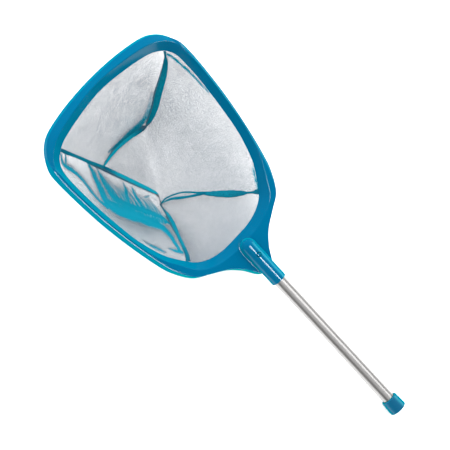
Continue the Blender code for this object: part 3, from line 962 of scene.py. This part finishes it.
def fillet():
    """The rounded inside corner where the socket rises out of the yoke."""
    def wall(z):
        return sqrt(SOCKET_R**2 - z**2)

    sides = [YOKE_TIP + (SOCKET_DOME - YOKE_TIP) * i / 24 for i in range(25)]
    stops = [(y, Vector((-1, 0, 0))) for y in sides]
    stops += [(SOCKET_DOME, Vector((sin(a), cos(a), 0))) for a in np.linspace(-pi / 2, pi / 2, 41)[1:-1]]
    stops += [(y, Vector((1, 0, 0))) for y in reversed(sides)]
    sections = []
    for y, out in stops:
        centre = Vector((0, y, 0))
        reach = FILLET * (smooth_step((y - YOKE_TIP) / 0.010) * 0.8 + 0.2)
        foot = centre + out * (wall(TOP_Z) + reach) + Vector((0, 0, TOP_Z - 0.00002))
        corner = centre + out * wall(TOP_Z) + Vector((0, 0, TOP_Z))
        head = centre + out * (wall(TOP_Z + reach) - 0.00002) + Vector((0, 0, TOP_Z + reach))
        back = centre + out * (wall(TOP_Z + reach) - 0.001) + Vector((0, 0, TOP_Z - 0.001))
        ring = []
        for k in range(9):
            t = k / 8
            ring.append(foot * (1 - t) ** 2 + corner * 2 * t * (1 - t) + head * t * t)
        ring += [back, foot + Vector((0, 0, -0.001))]
        sections.append(ring)
    return closed_loft("socket_fillet", sections, ring=False)


def make_frame(material):
    """The rim, yoke and socket as one moulding."""
    frame_piece = closed_loft("frame_moulding", frame_sections())
    dome = [(0.0004, SOCKET_DOME + SOCKET_R - 5e-6)]
    dome += [(SOCKET_R * sin(i * pi / 48), SOCKET_DOME + SOCKET_R * cos(i * pi / 48)) for i in range(1, 25)]
    mouth = [(SOCKET_R, y / 1000) for y in (60, 40, 20, 8, 2)]
    mouth += [(SOCKET_R - 0.0002, 0.0006), (SOCKET_R - 0.0007, 0.0001), (SOCKET_R - 0.0012, 0)]
    body = spun("socket_body", dome + mouth)
    bore = spun("socket_bore", [(BORE_R, SOCKET_FLOOR), (BORE_R, -0.01)])
    hole = upright("socket_hole", SOCKET_HOLE_R, BUTTON_Y, -0.03, 0.03)
    combine(frame_piece, body, "UNION")
    combine(frame_piece, bore, "DIFFERENCE")
    combine(frame_piece, hole, "DIFFERENCE")
    baked(frame_piece)
    corner = fillet()
    bm = bmesh.new()
    bm.from_mesh(frame_piece.data)
    bm.from_mesh(corner.data)
    bm.to_mesh(frame_piece.data)
    bm.free()
    for helper in (body, bore, hole, corner):
        bpy.data.objects.remove(helper)
    return finished(frame_piece, "frame_shell", "net", material)


def finished(obj, node, body, material, sharp=32):
    """The piece laid down as the net rests, smooth but for its sharp edges, in place of its node."""
    obj.data.transform(TO_WORLD)
    obj.data.shade_smooth()
    obj.data.set_sharp_from_angle(angle=radians(sharp))
    flats = obj.modifiers.new("flats", "WEIGHTED_NORMAL")
    flats.keep_sharp = True
    obj.data.materials.clear()
    obj.data.materials.append(material)
    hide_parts(node)
    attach(obj, body)
    return obj


def make_ring(material):
    """The flat ring that clamps the net's hem under the frame."""
    inner = loop(INNER)
    low, high = outset(inner, 0.0028), outset(inner, 0.0120)
    top, bottom = INNER_Z - 0.0015, INNER_Z - 0.0035
    sections = []
    for a, b in zip(low, high):
        corners = [(a, bottom), (a, top), (b, top), (b, bottom)]
        sections.append(rounded([Vector((p.x, p.y, z)) for p, z in corners], (0.0006,) * 4))
    ring = closed_loft("clamp_ring", sections)
    return finished(ring, "retaining_ring", "net", material)


def make_hem(material):
    """The net's doubled edge, clamped between the frame and the ring."""
    inner = loop(INNER)
    rows = []
    for reach in (0.0005, 0.0026, 0.0047, 0.0068):
        ring = outset(inner, reach)
        rows.append([(p.x, p.y, INNER_Z - 0.00075) for p in [*ring, ring[0]]])
    grid = np.array(rows)
    hem = new_piece("net_hem_strip", grid, material, np.full(grid.shape[:2], 0.6), HEM_THICK)
    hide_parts("net_hem")
    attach(hem, "net")
    return hem


def make_pole(material):
    """The open tube, with its cross holes for the buttons."""
    bore = POLE_R - POLE_WALL
    ease = 0.0002
    profile = [
        (POLE_R - ease, POLE_TOP), (POLE_R, POLE_TOP - ease), (POLE_R, POLE_FOOT + ease),
        (POLE_R - ease, POLE_FOOT), (bore, POLE_FOOT), (bore, POLE_TOP),
    ]
    sections = []
    for k in range(TURNS):
        a = 2 * pi * k / TURNS
        sections.append([Vector((r * cos(a), y, r * sin(a))) for r, y in profile])
    pole = closed_loft("pole_tube", sections)
    hole = upright("pole_hole", POLE_HOLE_R, BUTTON_Y, -0.02, 0.02)
    combine(pole, hole, "DIFFERENCE")
    baked(pole)
    bpy.data.objects.remove(hole)
    return finished(pole, "pole", "net", material)


def make_cap(material):
    """The cap pushed on the pole's foot, a little wider towards its closed end."""
    mouth, bore = CAP_END + CAP_LENGTH, POLE_R + 0.0003
    profile = [(bore, CAP_END + CAP_FLOOR), (bore, mouth - 0.0005),
               (bore + 0.0002, mouth - 0.0001), (bore + 0.0006, mouth)]
    profile += [(CAP_MOUTH_R - 0.0014 * (1 - sin(t)), mouth - 0.0014 * (1 - cos(t)))
                for t in np.linspace(0, pi / 2, 7)]
    profile.append((CAP_BASE_R, CAP_END + 0.0032))
    profile += [(CAP_BASE_R - 0.0026 * (1 - cos(t)), CAP_END + 0.0026 * (1 - sin(t)))
                for t in np.linspace(0, pi / 2, 8)]
    return finished(spun("pole_cap", profile), "end_cap", "net", material)


def make_button(name, node, body, side, material):
    """A round stud with a domed end, standing through the pole into the socket's hole."""
    profile = [(0.0001, BUTTON_TOP)]
    profile += [(BUTTON_R * sin(t), BUTTON_TOP - 0.0012 * (1 - cos(t)))
                for t in np.linspace(0, pi / 2, 12)[1:]]
    profile.append((BUTTON_R, BUTTON_FOOT))
    stud = spun(name, profile, 64)
    stud.data.transform(Matrix.Translation((0, BUTTON_Y, 0)) @ Matrix.Rotation(side * pi / 2, 4, "X"))
    return finished(stud, node, body, material, 50)


def make_floor():
    mesh = bpy.data.meshes.new("floor")
    mesh.from_pydata([(-6, -6, 0), (6, -6, 0), (6, 6, 0), (-6, 6, 0)], [], [(0, 1, 2, 3)])
    floor = bpy.data.objects.new("floor", mesh)
    bpy.context.scene.collection.objects.link(floor)
    floor.data.materials.append(plain("floor", (0.92, 0.92, 0.92), 0.9))
    return floor


def area_light(name, where, size, power, size_y=None):
    data = bpy.data.lights.new(name, "AREA")
    data.shape = "RECTANGLE"
    data.size = size
    data.size_y = size_y or size
    data.energy = power
    obj = bpy.data.objects.new(name, data)
    obj.location = where
    obj.rotation_mode = "QUATERNION"
    obj.rotation_quaternion = (Vector(where) - LIGHTS_AIM).to_track_quat("Z", "Y")
    bpy.context.scene.collection.objects.link(obj)
    return obj


def make_light():
    """The room: one soft light for matt surfaces, and a darker one that shiny surfaces mirror."""
    scene = bpy.context.scene
    scene.view_settings.view_transform = "Standard"
    scene.cycles.transparent_max_bounces = 48
    sky = bpy.data.worlds.new("studio")
    scene.world = sky
    sky.use_nodes = True
    tree = sky.node_tree
    soft = tree.nodes["Background"]
    shine = tree.nodes.new("ShaderNodeBackground")
    way = tree.nodes.new("ShaderNodeTexCoord")
    for target, stops, strength in ((soft, SOFT_STOPS, SOFT), (shine, SHINE_STOPS, 1.0)):
        lean = tree.nodes.new("ShaderNodeVectorMath")
        lean.operation = "DOT_PRODUCT"
        lean.inputs[1].default_value = SOFT_WAY if target is soft else SHINE_WAY
        tree.links.new(way.outputs["Generated"], lean.inputs[0])
        share = tree.nodes.new("ShaderNodeMath")
        share.operation = "MULTIPLY_ADD"
        share.inputs[1].default_value = share.inputs[2].default_value = 0.5
        tree.links.new(lean.outputs["Value"], share.inputs[0])
        ramp = tree.nodes.new("ShaderNodeValToRGB")
        tree.links.new(share.outputs[0], ramp.inputs[0])
        while len(ramp.color_ramp.elements) < len(stops):
            ramp.color_ramp.elements.new(0.5)
        for element, (place, level) in zip(ramp.color_ramp.elements, stops):
            element.position = place / 2 + 0.5
            element.color = (level, level, level, 1)
        tree.links.new(ramp.outputs[0], target.inputs["Color"])
        target.inputs["Strength"].default_value = strength
    ray = tree.nodes.new("ShaderNodeLightPath")
    mix = tree.nodes.new("ShaderNodeMixShader")
    tree.links.new(ray.outputs["Is Glossy Ray"], mix.inputs[0])
    tree.links.new(soft.outputs[0], mix.inputs[1])
    tree.links.new(shine.outputs[0], mix.inputs[2])
    tree.links.new(mix.outputs[0], tree.nodes["World Output"].inputs[0])


def light_only(light, lit):
    """Keeps the light to these pieces."""
    group = bpy.data.collections.new(light.name + "_lit")
    for piece in lit:
        group.objects.link(piece)
    light.light_linking.receiver_collection = group


def strip_light(name, turn, wide, level, colour, lit):
    """A long soft strip parallel to the pole that only shows as a reflection, on the pieces lit.

    turn is its direction round the pole, from straight out of the rim towards +X, and wide is how wide
    it looks from there, both in degrees.
    """
    across, out = sin(radians(turn)), cos(radians(turn))
    lean = REFLECTED_LEAN
    way = TO_WORLD.to_3x3() @ Vector((across * sqrt(1 - lean**2), lean, out * sqrt(1 - lean**2)))
    size = 2 * STRIP_AWAY * tan(radians(wide) / 2)
    power = level * pi * size * STRIP_LONG
    strip = area_light(name, tuple(way * STRIP_AWAY), size, power, STRIP_LONG)
    strip.data.color = colour
    strip.visible_diffuse = False
    light_only(strip, lit)


# The room's soft light, and what shiny surfaces mirror: levels at places from -1 to 1 along a way
SOFT = 3.55
SOFT_WAY = (0.62, 0.78, 0.0)
SOFT_STOPS = ((-1.0, 0.10), (1.0, 1.0))
SHINE_WAY = (1.0, 0.0, 0.0)
SHINE_STOPS = ((-0.9, 0.12), (-0.3, 0.10), (0.1, 0.06), (0.45, 0.08), (1.0, 0.4))
LIGHTS_AIM = Vector((0, 0.1, 0.05))
WASH_PLACE, WASH_SIZE, WASH_POWER = (0, 0.1, 3.0), 3.0, 100.0
# The strips that the moulding and the pole mirror: name, turn, width, level and colour
STRIP_AWAY = 4.0
STRIP_LONG = 2.9
REFLECTED_LEAN = -0.2185
WHITE = (1.0, 1.0, 1.0)
KEY_STRIP = ("key_strip", 1.5, 16.0, 36.0, WHITE)
EDGE_STRIP = ("edge_strip", 72.0, 34.0, 10.0, (0.12, 0.9, 0.78))
POLE_STRIPS = (
    ("pole_left", -62.0, 30.0, 0.35, WHITE),
    ("pole_middle", -16.0, 44.0, 1.2, WHITE),
    ("pole_bright", 25.0, 24.0, 3.9, WHITE),
    ("pole_right", 72.0, 24.0, 0.6, WHITE),
)

make_camera()
floor = make_floor()
make_light()
light_only(area_light("floor_wash", WASH_PLACE, WASH_SIZE, WASH_POWER), [floor])
make_bag()
blue = plastic("frame_blue", BLUE)
satin = plastic("satin_blue", BLUE, SATIN)
moulding = make_frame(blue)
ring = make_ring(satin)
cap = make_cap(plastic("cap_blue", CAP_BLUE, SATIN))
buttons = [
    make_button("button_top", "lock_button_top", "top_button", 1, blue),
    make_button("button_bottom", "lock_button_bottom", "bottom_button", -1, blue),
]
pole = make_pole(drawn_metal("drawn_aluminium", ALUMINIUM, DRAWN))
dress("clip_spring", satin)
strip_light(*KEY_STRIP, [moulding, *buttons])
strip_light(*EDGE_STRIP, [moulding, ring, cap, *buttons])
for settings in POLE_STRIPS:
    strip_light(*settings, [pole])
